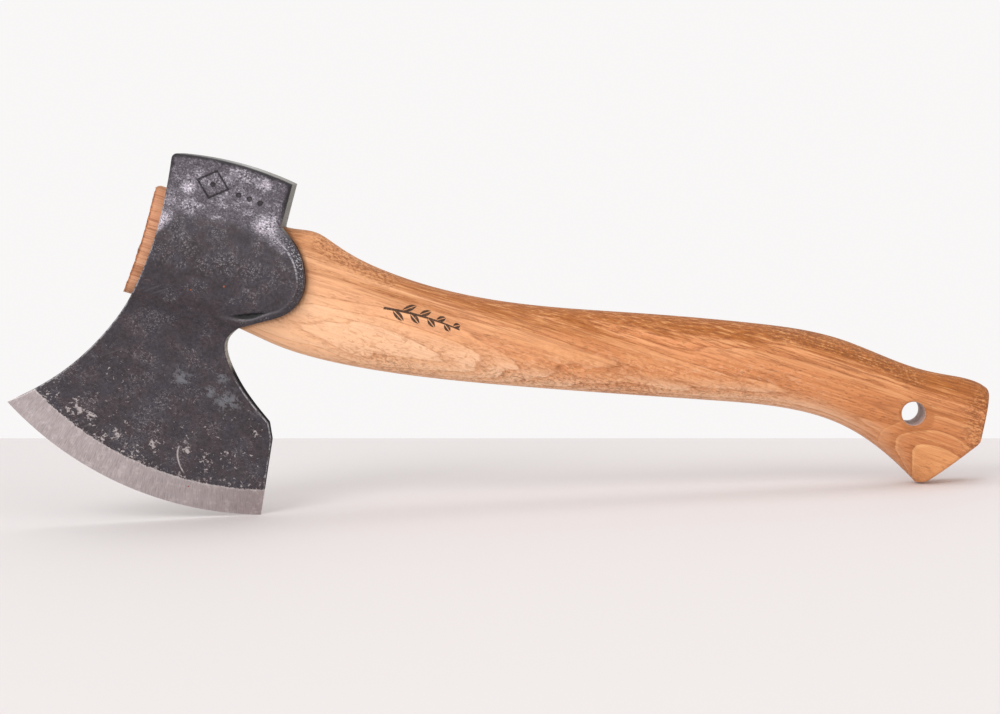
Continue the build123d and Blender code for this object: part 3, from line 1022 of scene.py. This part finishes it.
def forge_scale(g):
    """Purple-black scale with grain and flecks. Returns its glints and its pale patches."""
    cool = g.noise((9, 9, 8), 5, 0.66)
    g.colour = g.blend(cool.rise(0.42, 0.58), (0.046, 0.031, 0.037), (0.039, 0.033, 0.043))
    g.coat(g.broad.rise(0.52, 0.36) * 0.45, (0.018, 0.014, 0.018))
    flecks = g.measure("cheek_flecks") | g.broad.rise(0.48, 0.64, 0.10, 0.8)
    grain = g.fine.rise(0.50, 0.62) * flecks.rise(0.0, 0.8, 0.25, 1.0)
    g.coat(grain * 0.70, (0.110, 0.094, 0.102))
    g.coat(g.fine.rise(0.48, 0.40) * 0.6, (0.013, 0.010, 0.013))
    glint = g.speck.rise(0.57, 0.62) * flecks
    g.coat(glint * 0.65, (0.34, 0.315, 0.33))

    wipe_place = g.join(g.x * 0.80 + g.z * 0.60, g.y, g.z * 0.80 - g.x * 0.60)
    streaks = g.noise((14, 6, 0.8), 3, 0.6, place=wipe_place)
    wiped = streaks.rise(0.56, 0.68) * g.noise((20, 20, 16), 2, 0.5).rise(0.45, 0.60)
    g.coat(wiped * 0.30, (0.12, 0.112, 0.115))
    patch = g.noise((2.7, 2.7, 2.4), 5, 0.76) + g.measure("scale_patch") * 0.16
    patch = patch.rise(0.575, 0.610) * g.measure("scale_patch") * g.fine.rise(0.40, 0.50, 0.45, 1.0)
    g.coat(patch * 0.95, (0.155, 0.156, 0.174))
    return glint, patch


def poll_wear_and_highlights(g):
    """The hammered poll, worn and painted with highlights. Returns where it lies, where it is worn and
    painted bright, and its painted glints.
    """
    over_arch, poll_highlight = g.measure("over_arch"), g.measure("poll_highlight")
    poll = (over_arch + (g.ragged - 0.5) * 7.0 + g.x * 0.04).rise(-2.5, 2.0)
    # where the poll is painted bright as highlights: the listed places and random patches
    glow = poll_highlight | g.noise((8, 8, 6), 3, 0.6).rise(0.46, 0.66, 0.12, 0.50)
    satin = g.noise((1.1, 1.1, 0.9), 4, 0.70)
    worn = satin.rise(0.41, 0.53) * (poll * glow)
    g.coat(poll * 0.75, (0.075, 0.064, 0.078))
    # painted highlights: pale polish at the highlight places, and worn steel painted bright there too
    polish_and_highlight = poll_highlight.rise(0.35, 0.95) * over_arch.rise(-2.0, 1.5)
    g.coat(polish_and_highlight * satin.rise(0.36, 0.50) * 0.6, (0.42, 0.385, 0.44))
    g.coat(worn * 0.85, (0.48, 0.43, 0.50))
    # near-white glints painted onto the poll
    poll_glints = poll * g.speck.rise(0.54, 0.60) * glow
    g.coat(poll_glints, (0.86, 0.82, 0.88))
    g.coat(poll * g.ragged.rise(0.44, 0.34) * 0.55, (0.018, 0.015, 0.020))
    return poll, worn, poll_glints


def flaked_scale(g):
    """Bare flakes above the bevel, with one curved scratch. Returns where they are."""
    chip = g.noise((2.3, 2.3, 1.7), 5, 0.74, 0.4)
    flakes = (chip + g.measure("flake_patch") * 0.115).rise(0.625, 0.645) * g.z.rise(-40.0, -55.0)
    crumbs = (g.fine + g.above_bevel.rise(4.5, 0.3) * 0.085).rise(0.645, 0.665)
    scratch = g.x - (g.z + 80.8) ** 2 * 0.058 - 12.1
    scratch = (abs(scratch) + g.fine * 1.4).rise(1.25, 0.85) * abs(g.z + 85.0).rise(6.0, 4.0)
    flakes = flakes | crumbs * g.above_bevel.rise(11.0, 1.0) * 0.75 | scratch
    g.coat(flakes * 0.92, (0.43, 0.375, 0.375))
    return flakes


def ear_wear_light_and_shade(g):
    """The ear's dark shelf and wear, painted highlights, painted shade on the poll's arrises, a painted
    shadow in its crease.
    """
    shelf, rim_distance = g.measure("shelf"), g.measure("rim_distance")
    # the painted highlights are strongest on the upper ear
    upper_ear = g.z.rise(0.0, 11.0) * g.z.rise(22.0, 15.0)
    scratch = g.noise((3.0, 3.0, 0.55), 4, 0.75)
    ridge = g.measure("ridge").rise(0.35, 0.95) * scratch.rise(0.42, 0.54) * (upper_ear * 0.60 + 0.05)
    g.coat(shelf.rise(0.02, 0.5, 0.0, 0.55), (0.020, 0.017, 0.021))
    sparkle = shelf.rise(0.05, 0.4) * g.speck.rise(0.55, 0.62) * (upper_ear * 0.9 + 0.06)
    arris = rim_distance.rise(0.75, 0.40) * rim_distance.rise(0.0, 0.25) * g.ragged.rise(0.42, 0.56)
    arris = arris * (1.0 - g.at_poll) * (g.x.rise(0.0, -4.0) | g.z.rise(-43.0, -48.0))
    # bright wear and painted highlights: the ridge, sparkle on the shelf and a lit line on the front
    # arrises
    worn = ridge | sparkle * 0.9 | arris * 0.55
    g.coat(worn, (0.60, 0.58, 0.62))
    # painted shade: the rounded arrises round the poll darkened as if in shade, more so higher up
    dark_arris = (rim_distance + (g.ragged - 0.5) * 3.0).rise(2.0, 0.8) * g.at_poll
    g.coat(dark_arris * g.z.rise(24.0, 38.0, 0.25, 1.0) * 0.9, (0.020, 0.017, 0.020))
    # painted highlight along the lip below the crease
    g.coat(g.measure("lip") * 0.45, (0.22, 0.205, 0.22))
    # painted shadow: the crease under the cheek painted near black
    g.coat(g.measure("crease").rise(0.28, 0.70), (0.003, 0.003, 0.004))
    return worn


def stamped_marks(g):
    """The stamped lozenge and dots again, crisply, for the steel's colour and fine relief."""
    across = abs((g.x - STAMP_CENTRE[0]) * (1 / STAMP_HALF[0]))
    upward = abs((g.z - STAMP_CENTRE[1]) * (1 / STAMP_HALF[1]))
    marks = abs(across + upward - STAMP_RING).rise(0.10, 0.04)
    for x, z in [STAMP_CENTRE, *STAMP_DOTS]:
        marks = marks | g.near(x, z, 1.6, 0.8)
    marks = marks * g.y.rise(-8.0, -9.0)
    g.coat(marks * 0.85, (0.012, 0.010, 0.013))
    return marks


def head_rims(g):
    """Ground steel on the poll's rim, scale on the others, and a painted highlight on the waist. Returns
    the scale.
    """
    ground = g.blend(g.ragged.rise(0.35, 0.65), (0.37, 0.358, 0.352), (0.61, 0.595, 0.580))
    ground = ground.coat(g.broad.rise(0.46, 0.62, 0.0, 0.45), (0.20, 0.180, 0.190))
    ground = ground.coat(g.x.rise(-16.0, 8.0, 0.75, 0.0), (0.13, 0.125, 0.12))
    ground = ground.coat(g.z.rise(46.0, 41.0) * g.x.rise(5.0, 15.0) * 0.85, (0.15, 0.135, 0.105))
    g.coat(g.rim * g.at_poll, ground)
    black_rim = g.rim * (1.0 - g.at_poll) * g.x.rise(-4.0, 4.0, 0.25, 1.0)
    g.coat(black_rim * 0.95, (0.008, 0.007, 0.007))
    # painted highlight: the rim's narrow fillet at the waist painted pale where it would catch the light
    waist = g.x.rise(2.0, 8.0) * g.z.rise(-43.0, -38.0) * g.z.rise(-21.0, -25.0) * black_rim
    g.coat(waist * g.ragged.rise(0.36, 0.50) * 0.85, (0.50, 0.485, 0.435))
    return black_rim


def ground_bevel(g):
    """The cutting bevel's grinding lines. Returns where it is ground, and the lines."""
    chips = g.noise((0.9, 0.9, 0.9), 4, 0.8)
    edge = g.above_bevel + (g.ragged - 0.5) * 2.2 + (chips - 0.5) * 2.0
    arc, reach = g.measure("arc"), g.measure("reach")
    along = g.join(arc, 0.0, reach)
    lines = g.noise((0.38, 1, 5.0), 5, 0.80, place=g.join(arc + reach * 0.12, 0.0, reach))
    worn_spots = g.noise((3.6, 1, 3.0), 4, 0.7, place=along)
    bands = g.noise((7, 1, 9), 3, 0.6, place=along)
    steel = g.blend(lines.rise(0.32, 0.68), (0.360, 0.310, 0.312), (0.63, 0.565, 0.565))
    steel = steel.coat(bands.rise(0.46, 0.70) * 0.35, (0.66, 0.60, 0.60))
    steel = steel.coat(arc.rise(12.0, 52.0, 0.0, 0.60), (0.35, 0.295, 0.29))
    steel = steel.coat(worn_spots.rise(0.52, 0.66, 0.0, 0.45), (0.76, 0.69, 0.69))
    lit_line = abs(edge + 0.25).rise(0.40, 0.1) * chips.rise(0.44, 0.58)
    steel = steel.coat(lit_line * 0.7, (0.80, 0.76, 0.76))
    ground = edge.rise(0.12, -0.06)
    g.coat(ground, steel)
    return ground, lines


def rust_spots(g):
    """Small round rust spots on the near side."""
    mask = 0.0
    for x, z, size in RUST_SPOTS:
        mask = g.near(x, z, size**2, 0.3 * size**2) | mask
    g.coat(mask * g.y.rise(0.0, -1.0), (0.36, 0.085, 0.022))


def forged_steel():
    """Black forge scale, worn and painted with highlights on the poll and rims, with painted shade, and a
    ground cutting bevel.
    """
    g = SteelGraph()
    glint, patch = forge_scale(g)
    poll, poll_wear_highlit, poll_glints = poll_wear_and_highlights(g)
    flakes = flaked_scale(g)
    ear_wear_highlit = ear_wear_light_and_shade(g)
    marks = stamped_marks(g)
    black_rim = head_rims(g)
    ground, lines = ground_bevel(g)
    rust_spots(g)
    bare = ground | ear_wear_highlit * 0.9 | poll_wear_highlit * 0.9 | poll_glints | glint * 0.5
    metallic = bare | poll * 0.45 | g.rim * g.at_poll * 0.95 | 0.15
    unground = 1.0 - ground
    rough = g.fine.rise(0.3, 0.7, 0.40, 0.60) * unground + ground * lines.rise(0.3, 0.7, 0.30, 0.42)
    pits = g.fine * 0.7 + g.speck * 0.35 + poll * g.fine * 1.2
    pits = pits + flakes * 0.8 + patch * 0.4 - marks * 1.4
    relief = pits * unground + ground * lines * 0.14
    dull = black_rim * g.x.rise(2.0, 12.0)
    g.feed(g.shader.inputs["Specular IOR Level"], dull.rise(0.0, 1.0, 0.5, 0.0))
    return g.finish(rough, metallic, relief, 0.20)


# ---------------------------------------------------------------- hickory and wedges

RING_SPACING = 2.1
RING_LEAN = 0.23
SPRIG_CENTRE = (95.0, 6.2)
SPRIG_HALF_LENGTH = 17.0
SPRIG_LEAVES = 8
LEAF_LEAN = radians(34)


class HickoryGraph(Graph):
    """The hickory's nodes, with the noises and masks that its layers share."""

    def __init__(self):
        super().__init__("hickory")
        self.warp = self.noise((120, 20, 15), 2, 0.5)
        self.waver = self.noise((42, 7, 5), 3, 0.6)
        self.hair = self.noise((26, 0.85, 0.75), 4, 0.7)
        self.streak = self.noise((95, 4.0, 2.8), 3, 0.55)
        self.tone = self.noise((60, 12, 8), 3, 0.6)
        self.level = self.measure("level")
        self.calm = self.x.rise(70.0, 210.0, 0.50, 1.0)


def growth_rings(g):
    """Ring lines, the pale lines at the tip, their fade from line to line, and the tip's core."""
    depth = g.y + g.z * RING_LEAN + (g.warp - 0.5) * 8.0 + (g.waver - 0.5) * 1.1
    ring = ((depth + g.measure("figure")) * (1 / RING_SPACING)).fraction()
    tip_count = g.measure("rings") + (g.waver - 0.5) * 0.22
    tip_ring = tip_count.fraction()
    near_tip = g.measure("near_tip") * tip_count.rise(2.06, 1.98)
    away = 1.0 - near_tip
    line = (ring.rise(0.13, 0.01) | ring.rise(0.93, 1.0)) * away
    line = line | tip_ring.rise(0.34, 0.02) * near_tip * 0.75
    pale_line = abs(tip_ring - 0.92).rise(0.12, 0.02) * near_tip * tip_count.rise(0.3, 1.9, 0.75, 0.22)
    fade = ring.rise(0.05, 0.85) * away + tip_ring.rise(0.0, 0.9) * near_tip
    return line, pale_line, fade, near_tip * tip_count.rise(0.03, -0.03)


def wood_tones(g, fade):
    """Broad colour: heartwood above, sapwood below, painted light by the head and darker at the knob."""
    g.colour = g.blend(fade, (0.630, 0.245, 0.095), (0.745, 0.340, 0.152))
    g.coat(g.tone.rise(0.42, 0.62) * 0.45, (0.73, 0.275, 0.110))
    g.coat(g.streak.rise(0.46, 0.66) * g.calm * 0.45, (0.55, 0.195, 0.066))
    sap = (g.level + (g.warp - 0.5) * 0.8 + g.x * 0.0019).rise(0.80, 0.44)
    g.coat(sap * 0.80, g.blend(fade, (0.84, 0.465, 0.265), (0.94, 0.62, 0.41)))
    g.coat(g.measure("knob") * 0.55, (0.49, 0.170, 0.055))
    # painted light: paler towards the head, where the head shades the wood
    g.coat(g.x.rise(170.0, 50.0, 0.0, 0.66), (0.95, 0.54, 0.31))
    shoulder = g.measure("shoulder")
    heart = (g.level + (g.streak - 0.5) * 0.60).rise(0.62, 0.94)
    g.coat(heart * shoulder.rise(0.0, 1.0, 0.82, 0.50), (0.33, 0.090, 0.006))
    g.coat(shoulder * g.level.rise(0.45, 0.9) * 0.18, (0.66, 0.26, 0.095))


def wood_figure(g, line, pale_line, core):
    """Ring lines and the belly's curl. Returns the curl's relief."""
    g.coat(core * 0.65, (0.74, 0.335, 0.135))
    ring_shade = line * g.tone.rise(0.35, 0.65, 0.34, 0.62) * g.x.rise(70.0, 210.0, 0.60, 1.0)
    g.coat(ring_shade, (0.40, 0.140, 0.052))
    g.coat(pale_line * g.hair.rise(0.36, 0.56, 0.95, 0.55), (0.80, 0.41, 0.175))
    curl = g.noise((4.2, 2.0, 2.0), 4, 0.62, 1.4)
    belly = g.measure("belly") * g.tone.rise(0.30, 0.60, 0.4, 1.0)
    g.coat(belly * curl.rise(0.50, 0.40) * 0.48, (0.42, 0.165, 0.070))
    g.coat(belly * curl.rise(0.52, 0.62) * 0.32, (0.90, 0.59, 0.39))
    return belly * curl


def wood_fibres(g, fade):
    """Dark and pale hairs, raw grit and open pores. Returns the relief of each."""
    hairs = g.hair.rise(0.50, 0.62)
    g.coat(hairs * g.level.rise(0.45, 0.90, 0.18, 0.85) * g.calm, (0.26, 0.080, 0.022))
    g.coat(g.hair.rise(0.47, 0.36) * g.level.rise(0.5, 0.9, 0.22, 0.36), (0.90, 0.51, 0.23))
    grit = g.noise((1.7, 0.95, 0.95), 4, 0.72)
    raw = (g.measure("raw") + (g.tone - 0.5) * 0.9).rise(0.20, 0.95)
    g.coat(raw * grit.rise(0.49, 0.57) * 0.66, (0.22, 0.076, 0.025))
    g.coat(raw * grit.rise(0.45, 0.37) * 0.28, (0.88, 0.49, 0.23))
    pores = g.noise((3.6, 0.5, 0.45), 2, 0.6).rise(0.60, 0.66) * fade.rise(0.9, 0.1, 0.22, 1.0)
    g.coat(pores * g.calm * 0.38, (0.30, 0.105, 0.036))
    return hairs, raw * grit, pores


def wood_ends(g):
    """The sawn tang, its end, painted shade by the ear and the hole, and a painted reflection in the
    hole. Returns the end's relief.
    """
    tang, end_cut = g.measure("tang"), g.measure("end_cut")
    saw_lines = g.noise((60, 60, 1.3), 3, 0.7)
    g.coat(tang * 0.80, (0.72, 0.34, 0.19))
    g.coat(tang * saw_lines.rise(0.50, 0.60) * 0.6, (0.34, 0.115, 0.050))
    g.coat(tang * saw_lines.rise(0.44, 0.36) * 0.4, (0.84, 0.52, 0.34))
    saw = g.noise((8, 4.0, 0.8), 3, 0.7)
    g.coat(end_cut, g.blend(saw.rise(0.38, 0.62), (0.235, 0.070, 0.026), (0.56, 0.225, 0.092)))
    # painted shade where the ear's edge shadows the wood
    g.coat(g.measure("ear_shadow") * 0.75, (0.13, 0.045, 0.016))
    # painted shade round the hole's mouth
    g.coat(g.measure("hole_mouth_shade") * 0.55, (0.40, 0.140, 0.042))
    # painted reflection: the hole's wall painted pale lilac grey, lighter than its shade
    g.coat(g.measure("hole_wall") * 0.75, (0.60, 0.475, 0.44))
    return end_cut * saw


def burnt_sprig(g):
    """A small leaf sprig burnt into the grip: a curved stem with leaves in pairs."""
    u = g.x - SPRIG_CENTRE[0]
    v = g.z - u * 0.03 + u * u * 0.004 - SPRIG_CENTRE[1]
    stem = (abs(v) - (u * -0.008 + 0.42)).rise(0.12, -0.12)
    sprig = stem * abs(u).rise(SPRIG_HALF_LENGTH, SPRIG_HALF_LENGTH - 0.4)
    for index in range(SPRIG_LEAVES):
        from_foot = u + (13.0 - 3.8 * index)
        beside = v * (1 if index % 2 else -1)
        along = from_foot * cos(LEAF_LEAN) + beside * sin(LEAF_LEAN)
        across = beside * cos(LEAF_LEAN) - from_foot * sin(LEAF_LEAN)
        t = along * (1.0 / (7.4 - 0.55 * index))
        inside = t * (1.0 - t) * 5.6 - abs(across)
        vein = abs(across - 0.08).rise(0.10, 0.26)
        sprig = sprig | inside.rise(-0.05, 0.22) * vein
    sprig = sprig * g.y.rise(-2.0, -3.0) * g.noise((0.7, 0.7, 0.7), 3, 0.7).rise(0.30, 0.46, 0.55, 1.0)
    g.coat(sprig * 0.93, (0.018, 0.011, 0.008))
    return sprig


def hickory():
    """Oiled hickory: rings cut at a slant by the curved grip, open pores, sapwood belly."""
    g = HickoryGraph()
    line, pale_line, fade, core = growth_rings(g)
    wood_tones(g, fade)
    curls = wood_figure(g, line, pale_line, core)
    hairs, grit, pores = wood_fibres(g, fade)
    saw_marks = wood_ends(g)
    sprig = burnt_sprig(g)
    relief = hairs * -0.5 - pores - line * 0.3 + saw_marks * 2.0
    relief = relief - sprig * 1.2 + grit * 1.6 + curls * 1.6
    g.feed(g.shader.inputs["Specular IOR Level"], 0.22)
    return g.finish(g.hair.rise(0.3, 0.7, 0.42, 0.58), 0.0, relief, 0.12)


def wedge_wood():
    """Pale split hardwood of the kerf wedge, its grain running into the tang."""
    g = Graph("wedge_wood")
    grain = g.noise((16, 0.7, 0.7), 4, 0.65)
    pores = g.noise((4, 0.2, 0.2), 2, 0.6).rise(0.62, 0.70)
    g.colour = g.blend(grain.rise(0.35, 0.65), (0.50, 0.30, 0.16), (0.68, 0.47, 0.29))
    g.coat(pores * 0.6, (0.22, 0.11, 0.05))
    return g.finish(grain.rise(0.3, 0.7, 0.55, 0.7), 0.0, grain - pores * 0.8, 0.06)


def wedge_steel():
    """Dull rolled steel of the staple wedge, bright where the hammer struck it."""
    g = Graph("wedge_steel")
    broad = g.noise((3, 3, 3), 4, 0.6)
    fine = g.noise((0.4, 0.4, 0.4), 3, 0.7)
    g.colour = g.blend(broad.rise(0.38, 0.62), (0.17, 0.165, 0.17), (0.44, 0.43, 0.42))
    g.coat(fine.rise(0.6, 0.75) * 0.4, (0.12, 0.06, 0.035))
    return g.finish(fine.rise(0.3, 0.7, 0.34, 0.5), 0.9, broad * 0.6 + fine * 0.4, 0.06)


# ---------------------------------------------------------------- pieces

EYE_CUT_X = (-40.0, 60.0)
EYE_CUT_STEPS = 60


def place_piece(thing, node):
    """Rides on the only body and stands in for its CAD node, which is hidden."""
    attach(thing, "root")
    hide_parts(node)


def build_head():
    vertices, faces, outline = head_surface()
    head = make_object("hatchet_head", vertices, faces)
    eye = oval_tube("eye_cutter", *EYE_CUT_X, EYE_CUT_STEPS, FIT_GAP)
    carve(head, eye)
    bpy.data.objects.remove(eye)
    finish_mesh(head, forged_steel(), 38, head_measures(outline))
    place_piece(head, "head")


def build_handle_and_wedges():
    handle = make_object("curved_handle", *handle_surface())
    wedge = make_object("wooden_wedge", *kerf_wedge_surface())
    slot = staple("staple_cutter", FIT_GAP)
    kerf, hole = kerf_cutter(), hole_cutter()
    for cutter in (kerf, slot, hole):
        carve(handle, cutter)
    carve(wedge, slot)
    for cutter in (kerf, slot, hole):
        bpy.data.objects.remove(cutter)
    crown = staple_piece()
    finish_mesh(handle, hickory(), 40, handle_measures)
    finish_mesh(wedge, wedge_wood(), 40)
    finish_mesh(crown, wedge_steel(), 50)
    place_piece(handle, "handle")
    place_piece(wedge, "kerf_wedge")
    place_piece(crown, "staple_wedge")


# ---------------------------------------------------------------- stage, light and camera

TABLE_BACK = ((-0.2969, 0.4046), (0.2411, 0.1556))
TABLE_REACH = 4.0
TABLE_DEPTH = 4.0
TABLE_COLOUR = (0.722, 0.686, 0.684, 1)
BACKDROP_COLOUR = (0.944, 0.931, 0.928, 1)
ROOM_COLOUR = (1.0, 0.985, 0.98, 1)
ROOM_STRENGTH = 0.80
CAMERA_PLACE = (0.018954, -1.18293, 0.151401)
CAMERA_TURN = (radians(85.7279), radians(2.8491), radians(0.6071))
CAMERA_LENS = 99.34
CAMERA_SENSOR = 36.0
LAMP_TARGET = Vector((0, 0, 0.06))
LIGHTS = [
    ("key", (-1.8, -3.4, 2.6), 2.6, 76.0),
    ("fill", (2.2, -3.2, 1.5), 2.6, 32.0),
    ("top", (0.2, 0.8, 3.8), 3.0, 26.0),
]


def build_stage():
    """A pale table whose back edge crosses behind the hatchet at a slant."""
    left, right = (Vector((*point, 0)) for point in TABLE_BACK)
    along = (right - left).normalized()
    forward = Vector((along.y, -along.x, 0))
    middle = (left + right) / 2
    corners = []
    for across, out in ((-1, 0), (1, 0), (1, 1), (-1, 1)):
        corners.append(middle + along * across * TABLE_REACH + forward * out * TABLE_DEPTH)
    mesh = bpy.data.meshes.new("table")
    mesh.from_pydata([tuple(c) for c in corners], [], [(3, 2, 1, 0)])
    table = bpy.data.objects.new("table", mesh)
    bpy.context.scene.collection.objects.link(table)
    paper = bpy.data.materials.new("table_paper")
    paper.use_nodes = True
    shader = paper.node_tree.nodes["Principled BSDF"]
    shader.inputs["Base Color"].default_value = TABLE_COLOUR
    shader.inputs["Roughness"].default_value = 0.75
    mesh.materials.append(paper)


def build_light():
    """Even white surroundings and three soft lamps, all turned towards the hatchet."""
    world = bpy.data.worlds.new("studio")
    bpy.context.scene.world = world
    world.use_nodes = True
    nodes, links = world.node_tree.nodes, world.node_tree.links
    seen = nodes.new("ShaderNodeBackground")
    seen.inputs["Color"].default_value = BACKDROP_COLOUR
    around = nodes["Background"]
    around.inputs["Color"].default_value = ROOM_COLOUR
    around.inputs["Strength"].default_value = ROOM_STRENGTH
    mix, path = nodes.new("ShaderNodeMixShader"), nodes.new("ShaderNodeLightPath")
    links.new(path.outputs["Is Camera Ray"], mix.inputs[0])
    links.new(around.outputs[0], mix.inputs[1])
    links.new(seen.outputs[0], mix.inputs[2])
    links.new(mix.outputs[0], nodes["World Output"].inputs["Surface"])
    for name, place, size, power in LIGHTS:
        lamp = bpy.data.lights.new(name, "AREA")
        lamp.shape, lamp.size, lamp.energy = "DISK", size, power
        thing = bpy.data.objects.new(name, lamp)
        thing.location = place
        thing.rotation_euler = (LAMP_TARGET - Vector(place)).to_track_quat("-Z", "Y").to_euler()
        bpy.context.scene.collection.objects.link(thing)


def build_camera():
    camera = bpy.data.cameras.new("camera")
    camera.lens, camera.sensor_width, camera.sensor_fit = CAMERA_LENS, CAMERA_SENSOR, "HORIZONTAL"
    thing = bpy.data.objects.new("camera", camera)
    thing.location, thing.rotation_euler = CAMERA_PLACE, Euler(CAMERA_TURN, "XYZ")
    bpy.context.scene.collection.objects.link(thing)
    bpy.context.scene.camera = thing


build_head()
build_handle_and_wedges()
build_stage()
build_light()
build_camera()
bpy.context.scene.view_settings.view_transform = "Standard"
